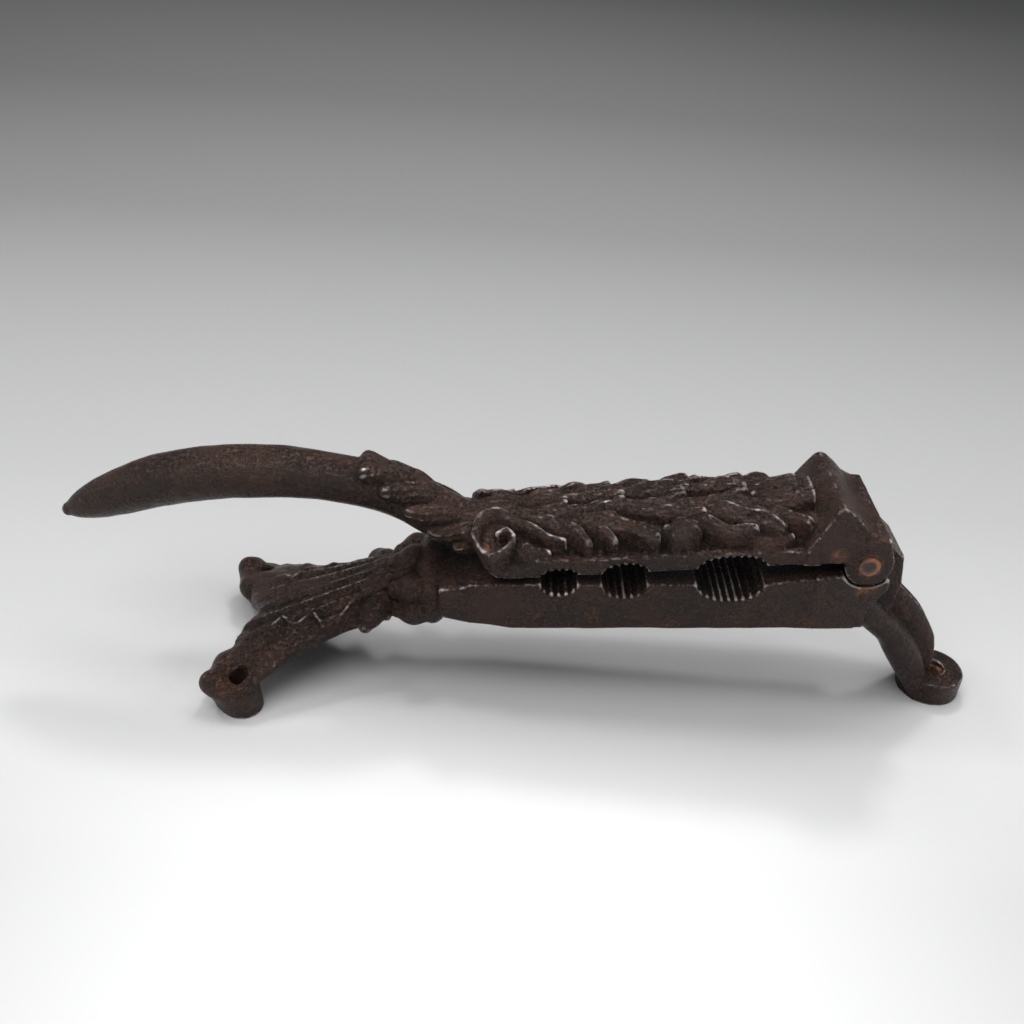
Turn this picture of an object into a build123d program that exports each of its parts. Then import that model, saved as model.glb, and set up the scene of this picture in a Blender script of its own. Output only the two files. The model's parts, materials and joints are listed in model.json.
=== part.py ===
from build123d import *
import math
import os

# Table nutcracker in cast iron: a base casting with the lower jaw on three legs, a lever casting with the
# upper jaw and the handle, and one riveted hinge pin. Millimetres, +Z up, feet on z = 0, +X towards the
# hinge end, Y across the jaws. The castings are written as sections that meet face to face.
#
# The jaws lie in a jaw frame (u, y, w) whose origin is the middle of the hinge pin. Its u axis runs along
# the bar and rises by TILT above the table, because the hinge leg is longer than the two front legs.

# Driving dimensions
TILT = 4.16
PIN_X, PIN_Z = 89.5, 55.9
JAW_HALF = 17.75
PIN_R, BORE_R = 2.5, 2.55
PIN_HEAD_R, PIN_PROUD = 2.9, 0.25
EAR_R, SOCKET_R, TONGUE_R = 6.7, 7.2, 6.4
TONGUE_HALF, EAR_INNER = 8.6, 8.9
BAR_TOP, BAR_BOTTOM = -6.2, -21.7
BAR_LEFT, CHEEK_LEFT = -118.2, -13.0
COLLAR_LEFT, FEET_LEFT = -131.8, -158.5
JAW_LEFT, JAW_RIGHT = -106.5, -14.5
BORDER_LEFT, BORDER_RIGHT = 1.2, 5.3
TOOTH_PITCH, TOOTH_DEPTH = 2.0, 0.6
SCREW_R, SCREW_HEAD_R = 2.6, 4.2
# Pads: x, y, radius, height
FRONT_PAD = (-82.8, 25.4, 6.8, 7.0)
REAR_PAD = (125.7, 0.0, 9.5, 7.6)
# Nut channels: middle u, width, depth in the lower jaw, depth in the upper jaw
CHANNELS = [(-84.7, 10.0, 3.8, 2.4), (-66.5, 12.2, 4.7, 3.2), (-37.3, 18.4, 5.6, 3.9)]

# Hinge leg: w, middle, half thickness and distance apart of the side lobes, front of the spine
REAR_LEG = [
    (-15.0, 1.8, 4.2, 9.0, 13.6),
    (-21.0, 4.6, 5.8, 8.8, 19.6),
    (-26.5, 9.6, 6.0, 7.6, 24.6),
    (-33.0, 15.4, 5.6, 6.2, 28.6),
    (-39.0, 19.0, 5.6, 5.6, 31.2),
    (-45.0, 22.0, 5.0, 4.8, 32.6),
    (-51.0, 25.2, 4.4, 3.8, 32.2),
    (-56.0, 28.0, 4.0, 3.4, 31.6),
]
# Arm and handle: (u, w, half width, half height) along the middle line
ARM = [
    (-104.0, 3.4, 8.6, 7.6),
    (-110.3, 3.0, 8.0, 6.6),
    (-118.8, 7.4, 7.4, 6.6),
    (-126.5, 11.8, 7.2, 6.9),
    (-135.0, 15.4, 7.0, 7.0),
    (-144.0, 17.4, 6.9, 6.8),
]
HANDLE = [
    (-144.0, 17.4, 6.9, 6.8),
    (-152.6, 18.8, 7.1, 7.0),
    (-161.0, 19.8, 7.4, 7.3),
    (-170.0, 20.0, 7.5, 7.5),
    (-178.6, 19.6, 7.5, 7.5),
    (-187.6, 18.5, 7.5, 7.5),
    (-196.8, 16.5, 7.3, 7.3),
    (-206.0, 13.5, 6.6, 6.6),
    (-214.5, 10.4, 5.4, 5.4),
    (-220.6, 8.2, 3.8, 3.8),
    (-224.4, 7.0, 1.4, 1.4),
]

COS, SIN = math.cos(math.radians(TILT)), math.sin(math.radians(TILT))
JAW = Plane(origin=(PIN_X, 0, PIN_Z), x_dir=(COS, 0, SIN), z_dir=(-SIN, 0, COS))
DOWN = (SIN, 0, -COS)


def at(u, y, w):
    """A point of the jaw frame, in the frame of the part."""
    return Vector(PIN_X + u * COS - w * SIN, y, PIN_Z + u * SIN + w * COS)


def put(shape):
    """A shape of the jaw frame, moved into the frame of the part."""
    return JAW.location * shape


def plate(outline, low, high):
    """A closed (u, w) outline extruded from y = low to y = high."""
    face = Plane.XZ * make_face(Polyline(*outline, close=True))
    return Pos(0, high, 0) * extrude(face, high - low)


def cylinder_y(radius, low, high, u=0, w=0):
    disc = Plane.XZ * Pos(u, w) * Circle(radius)
    return Pos(0, high, 0) * extrude(disc, high - low)


def box_between(low, high):
    size = [b - a for a, b in zip(low, high)]
    middle = [(a + b) / 2 for a, b in zip(low, high)]
    return Pos(*middle) * Box(*size)


def channel_points(middle, width, depth, base, up):
    """A serrated trough across a jaw face: an elliptical hollow with V teeth. up is 1 or -1."""
    teeth = max(2, round(width / TOOTH_PITCH) - 1)
    points = [(middle - width / 2, base)]
    for i in range(2 * teeth + 1):
        across = -0.86 + 1.72 * i / (2 * teeth)
        hollow = depth * math.sqrt(1 - across * across * 0.82)
        tooth = TOOTH_DEPTH if i % 2 else 0
        points.append((middle + across * width / 2, base + up * (hollow - tooth)))
    points.append((middle + width / 2, base))
    return points


def tube(sections):
    """A loft through ellipses: (centre, direction, half width in y, half height)."""
    faces = []
    for centre, direction, half_y, half_z in sections:
        way = Vector(*direction).normalized()
        plane = Plane(origin=centre, x_dir=(0, 1, 0), z_dir=way)
        faces.append(plane * Ellipse(half_y, half_z))
    return loft(faces)


# Base casting: the lower jaw bar, with its serrated top and slightly arched underside
def lower_jaw():
    top = [(BAR_LEFT, -8.0), (-112.0, -7.3), (-109.5, BAR_TOP)]
    for middle, width, depth, _ in CHANNELS:
        top += channel_points(middle, width, depth, BAR_TOP, -1)
    top += [(-26.5, -5.6), (CHEEK_LEFT, -4.4)]
    below = [(CHEEK_LEFT, BAR_BOTTOM), (-98, BAR_BOTTOM), (-109, -19.6), (BAR_LEFT, -17.8)]
    bar = plate(top + below, -JAW_HALF, JAW_HALF)
    long_edges = bar.edges().filter_by(Axis.X).group_by(Axis.Z)[0]
    return put(fillet(long_edges, 2.0))


# The end of the bar has two cheeks, each with a round socket under one ear of the lever
def hinge_cheek(side):
    outline = [(CHEEK_LEFT, -4.4), (-6.6, -3.5), (4.6, -3.5), (6.6, -5.0), (6.6, -8.0), (5.4, -11.0)]
    outline += [(3.4, -14.0), (2.4, -17.5), (2.2, BAR_BOTTOM), (CHEEK_LEFT, BAR_BOTTOM)]
    near, far = sorted((side * TONGUE_HALF, side * JAW_HALF))
    return put(plate(outline, near, far) - cylinder_y(SOCKET_R, near - 1, far + 1))


# Between them the tongue turns round the pin and ends behind in a sloping heel, which stops the open lever
def hinge_tongue():
    outline = [(CHEEK_LEFT, -4.4), (-8.2, -4.0), (-5.0, -4.0), (5.7, 2.6), (9.3, 0.2), (12.9, -3.4)]
    outline += [(13.8, -12.6), (12.4, BAR_BOTTOM), (CHEEK_LEFT, BAR_BOTTOM)]
    body = plate(outline, -TONGUE_HALF, TONGUE_HALF)
    body += cylinder_y(TONGUE_R, -TONGUE_HALF, TONGUE_HALF)
    return put(body - cylinder_y(BORE_R, -TONGUE_HALF - 1, TONGUE_HALF + 1))


# A leafy collar closes the left end of the bar
def collar_shape():
    sections = [(-117.0, -13.8, 16.2, 10.0), (-121.6, -15.6, 17.2, 11.8), (-127.6, -17.6, 15.8, 11.6)]
    sections += [(-133.0, -19.4, 11.2, 8.8)]
    return tube([(at(u, 0, w), (-1, 0, -0.28), a, b) for u, w, a, b in sections])


def collar():
    left_of_bar = put(box_between((-160, -30, -60), (BAR_LEFT, 30, 20)))
    right_of_fan = put(box_between((COLLAR_LEFT, -30, -60), (-100, 30, 20)))
    return collar_shape() & left_of_bar & right_of_fan


# The fan leaf widens and falls from the collar and splits into the two front legs
def fan_shape():
    sections = [(-130.8, -19.4, 11.2, 8.8), (-140.0, -22.4, 12.8, 7.4), (-151.0, -26.0, 16.6, 6.4)]
    sections += [(-161.0, -28.6, 20.5, 6.0)]
    leaf = tube([(at(u, 0, w), (-1, 0, -0.33), a, b) for u, w, a, b in sections])
    right_of_feet = put(box_between((FEET_LEFT, -40, -70), (-100, 40, 20)))
    left_of_collar = put(box_between((-190, -40, -70), (COLLAR_LEFT, 40, 20)))
    return leaf & right_of_feet & left_of_collar


def front_foot(side):
    """One front leg and paw: a sloping leg, a round pad on the table and two rounded toes."""
    pad_x, pad_y, pad_r, pad_h = FRONT_PAD
    leg = tube(
        [
            (at(-156.0, side * 8.6, -27.0), (-1, side * 0.5, -0.35), 9.8, 6.0),
            (at(-165.0, side * 14.0, -30.4), (-1, side * 0.65, -0.4), 8.4, 6.0),
            (at(-173.0, side * 20.0, -34.2), (-1, side * 0.75, -0.4), 7.2, 5.8),
            (at(-180.0, side * 25.6, -36.0), (-1, side * 0.8, -0.1), 6.6, 5.6),
        ]
    )
    pad = Pos(pad_x, side * pad_y, pad_h / 2) * Cylinder(pad_r, pad_h)
    outer_toe = Pos(*at(-181.2, side * 28.0, -34.4)) * Sphere(4.7)
    inner_toe = Pos(*at(-178.2, side * 18.6, -34.0)) * Sphere(4.6)
    foot = leg + pad + outer_toe + inner_toe
    foot -= put(box_between((FEET_LEFT, -50, -70), (-100, 50, 20)))
    foot -= Pos(pad_x, side * pad_y, 10) * Cylinder(SCREW_R, 40)
    foot -= Pos(pad_x, side * pad_y, pad_h + 15) * Cylinder(SCREW_HEAD_R, 30)
    own_side = Pos(pad_x, side * 30, 20) * Box(80, 60, 40)
    return foot & own_side


# The hinge leg has two rounded side lobes and a taller spine between them, and curves down to its pad
def rear_leg():
    spine = []
    lobes = {-1: [], 1: []}
    for w, middle, deep, apart, front in REAR_LEG:
        spine.append((at((middle + front) / 2, 0, w), DOWN, 4.0, (front - middle) / 2))
        for side in lobes:
            lobes[side].append((at(middle, side * apart, w), DOWN, 5.0, deep))
    leg = tube(spine) + tube(lobes[-1]) + tube(lobes[1])
    for block in (hinge_cheek(-1), hinge_cheek(1), hinge_tongue()):
        leg -= block
    pad_x, _, pad_r, pad_h = REAR_PAD
    leg -= Pos(pad_x, 0, pad_h / 2) * Cylinder(pad_r, pad_h)
    leg -= Pos(pad_x, 0, 30) * Cylinder(SCREW_HEAD_R, 60)
    above_table = Pos(pad_x, 0, 30 + 0.4) * Box(120, 60, 60)
    return (leg & above_table).solids().sort_by(SortBy.VOLUME)[-1]


def rear_foot():
    pad_x, _, pad_r, pad_h = REAR_PAD
    pad = Pos(pad_x, 0, pad_h / 2) * Cylinder(pad_r, pad_h)
    return pad - Pos(pad_x, 0, pad_h / 2) * Cylinder(SCREW_R, 40)


# Lever casting: the upper jaw is a flat plate with matching channels below and a domed leaf crown above
def underside(u):
    return -4.3 + 4.6 * (u + 98) / 75


def upper_jaw():
    below = [(JAW_LEFT, 0.5), (-104.6, -2.6), (-101.0, -4.4)]
    for middle, width, _, depth in CHANNELS:
        low = underside(middle)
        below += channel_points(middle, width, depth, low, 1)
    below += [(-23.0, 0.3), (JAW_RIGHT, 0.6)]
    border = [(JAW_RIGHT, BORDER_RIGHT), (JAW_LEFT, BORDER_LEFT)]
    band = plate(below + border, -JAW_HALF, JAW_HALF)
    # (u, border w, half width, crown w)
    rings = [(JAW_LEFT, 0.0, 11.0, 8.5), (-98.0, 1.0, 16.0, 11.4), (-80.0, 2.2, 17.0, 12.2)]
    rings += [(-55.0, 3.4, 17.2, 13.6), (-32.0, 4.6, 17.2, 15.6), (JAW_RIGHT, 5.2, 17.0, 15.0)]
    faces = []
    for u, low, half, high in rings:
        span = [(-half, low - 1), (-half, low + 0.3)]
        top = [(-half * 0.72, low + 0.72 * (high - low)), (0, high), (half * 0.72, low + 0.72 * (high - low))]
        arch = Spline((-half, low + 0.3), *top, (half, low + 0.3))
        legs = Polyline((half, low + 0.3), (half, low - 1), *span)
        faces.append(Plane(origin=(u, 0, 0), x_dir=(0, 1, 0), z_dir=(1, 0, 0)) * make_face([arch, legs]))
    crown = loft(faces, ruled=True)
    return put(band + crown)


# The crest closes the jaw over the hinge and falls in an ogee to the rear edge
def crest_outline():
    return [
        (JAW_RIGHT, 0.6),
        (-5.6, 0.7),
        (-5.6, 3.6),
        (0, 7.4),
        (4.6, 7.4),
        (4.8, 8.6),
        (1.6, 9.1),
        (-1.6, 11.0),
        (-4.6, 14.8),
        (-7.2, 17.3),
        (-9.8, 17.3),
        (-12.2, 13.6),
        (JAW_RIGHT, 9.0),
    ]


def end_crest():
    solid = plate(crest_outline(), -JAW_HALF, JAW_HALF)
    solid -= cylinder_y(7.3, -EAR_INNER, EAR_INNER)
    ear_room = [(-8.9, -10), (-8.9, 0.65), (-5.6, 3.6), (0, 7.4), (12, 7.4), (12, -10)]
    for side in (-1, 1):
        near, far = sorted((side * EAR_INNER, side * (JAW_HALF + 1)))
        solid -= plate(ear_room, near, far)
    return put(solid)


def hinge_ear(side):
    near, far = sorted((side * EAR_INNER, side * JAW_HALF))
    cheek = [(-8.9, 0.65), (-5.6, 3.6), (0, 7.4), (4.6, 7.4), (6.4, 2.0), (0, -2), (-6.6, 0.65)]
    ear = cylinder_y(EAR_R, near, far) + plate(cheek, near, far)
    ear &= plate([(-8.9, 0.65), (-5.6, 3.6), (0, 7.4), (9, 7.4), (9, -9), (-7, -9), (-6.66, 0.65)], near, far)
    ear -= cylinder_y(PIN_R, near - 1, far + 1)
    return put(ear)


def hinge_pin():
    pin = cylinder_y(PIN_R, -JAW_HALF, JAW_HALF)
    for side in (-1, 1):
        near, far = sorted((side * JAW_HALF, side * (JAW_HALF + PIN_PROUD)))
        pin += cylinder_y(PIN_HEAD_R, near, far)
    return put(pin)


def along(line):
    """Sections square to the middle line of the arm or the handle."""
    both = ARM[:-1] + HANDLE
    sections = []
    for u, w, a, b in line:
        i = both.index((u, w, a, b))
        before, after = both[max(i - 1, 0)], both[min(i + 1, len(both) - 1)]
        du, dw = after[0] - before[0], after[1] - before[1]
        sections.append((Vector(u, 0, w), (du, 0, dw), a, b))
    return sections


def lever_arm():
    arm = tube(along(ARM))
    arm += Pos(-136.6, 0, 21.0) * Sphere(4.5)
    arm &= box_between((-170, -30, -30), (JAW_LEFT, 30, 40))
    face = along(ARM)[-1]
    beyond = Plane(origin=face[0], z_dir=Vector(*face[1])) * Pos(0, 0, 20) * Box(60, 60, 40)
    return put(arm - beyond)


def lever_handle():
    return put(tube(along(HANDLE)))


os.makedirs("parts", exist_ok=True)
parts = {
    "lower_jaw": lower_jaw(),
    "hinge_cheek_near": hinge_cheek(-1),
    "hinge_cheek_far": hinge_cheek(1),
    "hinge_tongue": hinge_tongue(),
    "collar": collar(),
    "leaf_fan": fan_shape(),
    "front_foot_near": front_foot(-1),
    "front_foot_far": front_foot(1),
    "rear_leg": rear_leg(),
    "rear_foot": rear_foot(),
    "upper_jaw": upper_jaw(),
    "end_crest": end_crest(),
    "hinge_ear_near": hinge_ear(-1),
    "hinge_ear_far": hinge_ear(1),
    "hinge_pin": hinge_pin(),
    "lever_arm": lever_arm(),
    "lever_handle": lever_handle(),
}
for name, shape in parts.items():
    export_step(shape, f"parts/{name}.step")
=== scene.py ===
"""Looks of the cast-iron table nutcracker.

The two castings are sculpted as distance fields in the jaw frame (millimetres: u along the bar, y across,
w up from the hinge pin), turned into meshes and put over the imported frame. All shapes are symmetric in y.
"""

import json
import math

import bpy
import numpy as np
import openvdb
from mathutils import Matrix, Vector


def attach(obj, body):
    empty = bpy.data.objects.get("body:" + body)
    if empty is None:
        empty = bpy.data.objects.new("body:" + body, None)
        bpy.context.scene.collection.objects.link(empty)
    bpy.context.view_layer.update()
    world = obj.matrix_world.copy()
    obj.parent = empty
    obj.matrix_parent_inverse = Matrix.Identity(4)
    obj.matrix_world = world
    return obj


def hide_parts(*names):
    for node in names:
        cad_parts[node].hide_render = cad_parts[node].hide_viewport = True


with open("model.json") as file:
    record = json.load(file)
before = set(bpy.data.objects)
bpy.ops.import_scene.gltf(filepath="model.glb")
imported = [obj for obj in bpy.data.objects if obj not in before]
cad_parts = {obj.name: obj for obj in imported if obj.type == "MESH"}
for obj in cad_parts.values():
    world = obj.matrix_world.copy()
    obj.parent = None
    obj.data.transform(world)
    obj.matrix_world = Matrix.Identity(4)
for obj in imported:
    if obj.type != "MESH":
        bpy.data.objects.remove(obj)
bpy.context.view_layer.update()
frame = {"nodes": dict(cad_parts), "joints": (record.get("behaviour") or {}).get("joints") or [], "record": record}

# The jaw frame: its origin is the hinge pin and it is tilted about Y
TILT = math.radians(4.16)
COS, SIN = math.cos(TILT), math.sin(TILT)
PIN_X, _, PIN_Z = [1000 * value for value in frame["joints"][0]["pos_m"]]
STEP = 0.42  # grid spacing of the distance fields
FAR = 4.0  # distances are held only up to here

JAW_HALF = 17.75
EAR_R, SOCKET_R = 6.7, 7.2
TONGUE_ROOM_R = 7.25
PIN_HOLE_R = 2.45
TONGUE_HALF, EAR_INNER = 8.6, 8.9
BAR_TOP, BAR_BOTTOM = -6.2, -21.7
BAR_LEFT = -118.2
JAW_LEFT, JAW_RIGHT = -111.0, -14.0
TOOTH_PITCH, TOOTH_DEPTH = 2.0, 0.7
SCREW_R, SCREW_HEAD_R = 2.6, 4.2
FRONT_PAD = (-82.8, 25.4, 6.8, 7.0)  # x, y, radius, height
REAR_PAD = (125.7, 9.5, 7.6)  # x, radius, height
# Nut channels: middle u, width, depth in the lower jaw, depth in the upper jaw
CHANNELS = [(-84.7, 10.0, 3.8, 2.4), (-66.5, 12.2, 4.7, 3.2), (-37.3, 18.4, 5.6, 3.9)]


# ---------------------------------------------------------------- distance field tools


def soft_min(a, b, blend):
    if blend <= 0:
        return np.minimum(a, b)
    h = np.clip(0.5 + 0.5 * (b - a) / blend, 0, 1)
    return b + (a - b) * h - blend * h * (1 - h)


def soft_max(a, b, blend):
    return -soft_min(-a, -b, blend)


def smooth(x, low, high):
    t = np.clip((x - low) / (high - low), 0, 1)
    return t * t * (3 - 2 * t)


def read(line, at):
    """The value at a place on a line of (place, value) points."""
    places, values = zip(*line)
    return np.interp(at, places, values)


def rounded(points, per_span=12):
    """A smooth line through the points (Catmull-Rom), as an array."""
    p = np.array([points[0], *points, points[-1]], float)
    t = np.linspace(0, 1, per_span, endpoint=False)[:, None]
    spans = []
    for a, b, c, d in zip(p, p[1:], p[2:], p[3:]):
        straight = b + t * (c - a) / 2
        bend = t**2 * (a - 2.5 * b + 2 * c - d / 2)
        spans.append(straight + bend + t**3 * (1.5 * (b - c) + (d - a) / 2))
    return np.concatenate([*spans, p[-1:]])


class Clay:
    """A distance field over a box of the jaw frame, kept for y >= 0 and mirrored when it is meshed."""

    def __init__(self, low, high):
        self.axes = [np.arange(a, b, STEP, dtype=np.float32) for a, b in zip(low, high)]
        self.value = np.full([len(axis) for axis in self.axes], FAR, np.float32)

    def part(self, low, high):
        ends = [np.searchsorted(axis, (a, b)) for axis, a, b in zip(self.axes, low, high)]
        cut = tuple(slice(first, last) for first, last in ends)
        u, y, w = (axis[piece] for axis, piece in zip(self.axes, cut))
        return cut, (u[:, None, None], y[None, :, None], w[None, None, :])

    def add(self, low, high, shape, blend=0.0):
        cut, where = self.part(low, high)
        self.value[cut] = soft_min(self.value[cut], shape(*where), blend)

    def carve(self, low, high, shape, blend=0.0):
        cut, where = self.part(low, high)
        self.value[cut] = soft_max(self.value[cut], -shape(*where), blend)

    def mesh(self, name):
        whole = np.concatenate([self.value[:, :0:-1], self.value], axis=1)
        grid = openvdb.FloatGrid()
        grid.background = FAR
        grid.copyFromArray(np.ascontiguousarray(np.clip(whole, -FAR, FAR)))
        points, quads = grid.convertToQuads(0.0)
        middle = len(self.axes[1]) - 1
        u = points[:, 0] * STEP + self.axes[0][0]
        y = (points[:, 1] - middle) * STEP
        w = points[:, 2] * STEP + self.axes[2][0]
        u, y, w = wobble(u, y, w)
        mesh = bpy.data.meshes.new(name)
        mesh.from_pydata(np.stack(to_part(u, y, w), axis=1) / 1000, [], quads)
        mesh.validate()
        return mesh


def to_part(u, y, w):
    return PIN_X + u * COS - w * SIN, y, PIN_Z + u * SIN + w * COS


def ground(u, w):
    """x and height above the table of a point of the jaw frame."""
    x, _, z = to_part(u, 0, w)
    return x, z


def wobble(u, y, w):
    """The small unevenness of an old sand casting."""
    a = np.sin(u * 0.31 + y * 0.23) + np.sin(w * 0.47 - u * 0.17 + 1.0) + np.sin(y * 0.41 + w * 0.29 + 2.0)
    b = np.sin(u * 0.83 + w * 0.61) + np.sin(y * 0.97 - u * 0.53 + 0.7)
    fade = smooth(ground(u, w)[1], 0.5, 5.0)
    return u, y * (1 - 0.0012 * a * fade), w + (0.05 * a + 0.03 * b) * fade


def ellipsoid(centre, radii):
    def shape(u, y, w):
        p = [(x - c) / r for x, c, r in zip((u, y, w), centre, radii)]
        near = np.sqrt(sum(q * q for q in p)) + 1e-6
        slope = np.sqrt(sum((q / r) ** 2 for q, r in zip(p, radii))) + 1e-6
        return near * (near - 1) / slope

    return shape


def chain(points, radii, blend=1.0):
    """Round bars from point to point with changing radius."""

    def shape(u, y, w):
        value = None
        for a, b, ra, rb in zip(points, points[1:], radii, radii[1:]):
            d = [b[i] - a[i] for i in range(3)]
            size = d[0] ** 2 + d[1] ** 2 + d[2] ** 2
            t = ((u - a[0]) * d[0] + (y - a[1]) * d[1] + (w - a[2]) * d[2]) / size
            t = np.clip(t, 0, 1)
            du, dy, dw = u - a[0] - t * d[0], y - a[1] - t * d[1], w - a[2] - t * d[2]
            far = np.sqrt(du**2 + dy**2 + dw**2) - ra - t * (rb - ra)
            value = far if value is None else soft_min(value, far, blend)
        return value

    return shape


WIDE = 40  # half width of an outline whose sides are cut afterwards


def about_pin(radius):
    """A round bar of any length on the hinge pin's axis."""
    return lambda u, y, w: np.sqrt(u * u + w * w) - radius + 0 * y


def polygon(points, half, corner):
    """A (u, w) outline through |y| <= half, with rounded edges."""
    p = np.array(points, np.float32)

    def shape(u, y, w):
        u2, w2 = u[:, 0, :], w[:, 0, :]
        near = None
        inside = None
        for a, b in zip(p, np.roll(p, -1, axis=0)):
            e = b - a
            x, z = u2 - a[0], w2 - a[1]
            t = np.clip((x * e[0] + z * e[1]) / (e @ e), 0, 1)
            far = (x - t * e[0]) ** 2 + (z - t * e[1]) ** 2
            near = far if near is None else np.minimum(near, far)
            up = (a[1] <= w2) & (b[1] > w2) & (e[0] * z - e[1] * x > 0)
            down = (a[1] > w2) & (b[1] <= w2) & (e[0] * z - e[1] * x < 0)
            wind = up.astype(int) - down.astype(int)
            inside = wind if inside is None else inside + wind
        flat = np.where(inside != 0, -1, 1) * np.sqrt(near)
        return soft_max(flat[:, None, :], np.abs(y) - half, corner * 2)

    return shape


def level(height):
    """What turns w - height into a distance, for a surface given by its heights over (u, y)."""
    du = np.gradient(height, axis=0) / STEP
    dy = np.gradient(height, axis=1) / STEP if height.shape[1] > 1 else 0
    return 1 / np.sqrt(1 + du * du + dy * dy)


# ---------------------------------------------------------------- leaf relief


VEIN_PITCH = 1.6
SUNK = -9


def lobe(u, y, spine, half, depth, rise, tip, flute, lean=0.0, dish=0.0):
    """Height of one rounded acanthus lobe against the skin it lies on, and SUNK outside it.

    spine runs from root to tip; half is its half width; its middle stands rise over the skin (rise + tip at
    the end) and its sides fall away by depth. flute cuts it with fine veins, lean tips it sideways, so that
    one long edge stands up, and dish hollows it either side of a midrib.
    """
    line = rounded(spine, 8)
    best = np.full(np.broadcast(u, y).shape, 1e9, np.float32)
    along = np.zeros_like(best)
    across = np.zeros_like(best)
    for i, (a, b) in enumerate(zip(line, line[1:])):
        e = b - a
        t = np.clip(((u - a[0]) * e[0] + (y - a[1]) * e[1]) / (e @ e), 0, 1)
        x, z = u - a[0] - t * e[0], y - a[1] - t * e[1]
        far = x * x + z * z
        closer = far < best
        best = np.where(closer, far, best)
        along = np.where(closer, (i + t) / (len(line) - 1), along)
        across = np.where(closer, (z * e[0] - x * e[1]) / np.sqrt(e @ e), across)
    width = half * (0.55 + 0.45 * np.sin(np.pi * np.clip(along, 0, 1) ** 0.8))
    s = np.sqrt(best) / width
    body = np.sqrt(np.clip(1 - s * s, 0, 1))
    lift = rise + tip * smooth(along, 0.4, 1.0) - 1.2 * (1 - smooth(along, 0, 0.35))
    vein = flute * (0.5 + 0.5 * np.cos(2 * np.pi * across / VEIN_PITCH))
    vein = vein * smooth(along, 0.05, 0.3) * (1 - smooth(s, 0.7, 1))
    hollow = dish * np.clip(1 - s * s * 1.6, 0, 1) * (1 - np.exp(-((across / 0.7) ** 2)))
    hollow = hollow * smooth(along, 0.1, 0.4)
    return np.where(s < 1, lift - depth * (1 - body) - vein - hollow + lean * across, SUNK)


# The cushion under the leaves of the upper jaw: (u, height on the middle line)
CROWN_LINE = [
    (-112, 6.6), (-104, 8.8), (-96, 9.4), (-84, 9.8), (-70, 11.2), (-50, 12.8), (-35, 14.0), (-22, 13.8),
    (-16, 12.4),
]
# Lobes of the upper jaw: spine from root to tip as (u, y), half width, depth, rise, tip, lean, dish
CROWN_LOBES = [
    # leaf ends that hang over the long sides
    ([(-94, 5.0), (-87, 7.6), (-81, 10.8), (-77.0, 14.8)], 2.7, 3.0, 0.5, 0.4, 0.10, 0.0),
    ([(-84, 6.0), (-77, 8.4), (-72.5, 11.4), (-69.8, 15.0)], 2.3, 2.6, 0.2, 0.4, 0.10, 0.0),
    ([(-80, 4.4), (-71, 7.8), (-64, 11.2), (-58.6, 14.4)], 3.2, 3.2, 0.6, 0.7, 0.14, 0.6),
    ([(-54.8, 12.0), (-51.5, 12.9), (-48.0, 13.2)], 4.1, 4.2, 1.5, 0.0, 0.0, 0.0),
    ([(-67, 3.4), (-59, 6.4), (-51.5, 8.0), (-45.5, 8.8)], 2.5, 2.8, 0.9, 0.5, 0.0, 0.0),
    ([(-50, 7.6), (-44.5, 10.6), (-38, 13.2), (-31.5, 13.8)], 2.4, 2.8, 0.1, 0.9, 0.16, 0.0),
    ([(-33, 14.6), (-27, 14.8), (-21.5, 14.0)], 2.1, 2.0, -1.2, 0.2, 0.0, 0.6),
    ([(-46, 4.2), (-38, 6.8), (-30.5, 9.4), (-24.5, 12.6)], 3.9, 3.2, 0.9, 0.5, 0.06, 1.3),
    ([(-31, 4.8), (-25, 7.8), (-20, 10.2), (-16.4, 12.2)], 2.4, 2.6, -0.2, 1.3, 0.12, 0.0),
    # long leaves that run along the middle
    ([(-106, 1.6), (-98, 3.2), (-90, 2.8), (-83, 0.8)], 2.5, 2.4, 0.3, 0.6, 0.0, 0.0),
    ([(-91, 3.4), (-83, 3.8), (-75, 2.6), (-67, 1.4)], 2.4, 2.6, 0.4, 0.8, 0.0, 0.0),
    ([(-73, 3.2), (-65, 3.2), (-57, 2.4), (-50, 1.0)], 2.3, 2.6, 0.6, 0.6, 0.0, 0.0),
    ([(-56, 4.0), (-48, 4.4), (-40, 3.0), (-33, 1.2)], 2.6, 2.8, 0.6, 0.8, 0.0, 0.0),
    ([(-38, 3.0), (-29, 4.4), (-21, 4.6), (-15.0, 4.0), (-11.6, 2.8)], 2.5, 2.8, 0.4, 2.0, 0.0, 0.0),
    ([(-30, 0.2), (-24, 0.6), (-18, 0.8), (-12.8, 0.4)], 2.0, 2.2, 0.0, 1.6, 0.0, 0.0),
]
# The raised line that comes round the volute at the arm end and runs on as a stem
SCROLL = [
    (-83.5, 13.8), (-87, 13.1), (-91.5, 10.6), (-96.5, 7.4), (-101.5, 5.2), (-105.6, 6.4),
    (-107.8, 10.2), (-106.9, 14.2), (-103.4, 16.4), (-99.6, 15.4), (-97.6, 12.4), (-99.2, 10.0),
    (-101.6, 10.6),
]

VOLUTE_MIDDLE, VOLUTE_SIZE = (-102.4, 11.2), (6.6, 6.4)
SIDE_DISH = [(-96.5, 13.5), (-92.5, 15.0), (-88, 15.6)]


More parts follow.
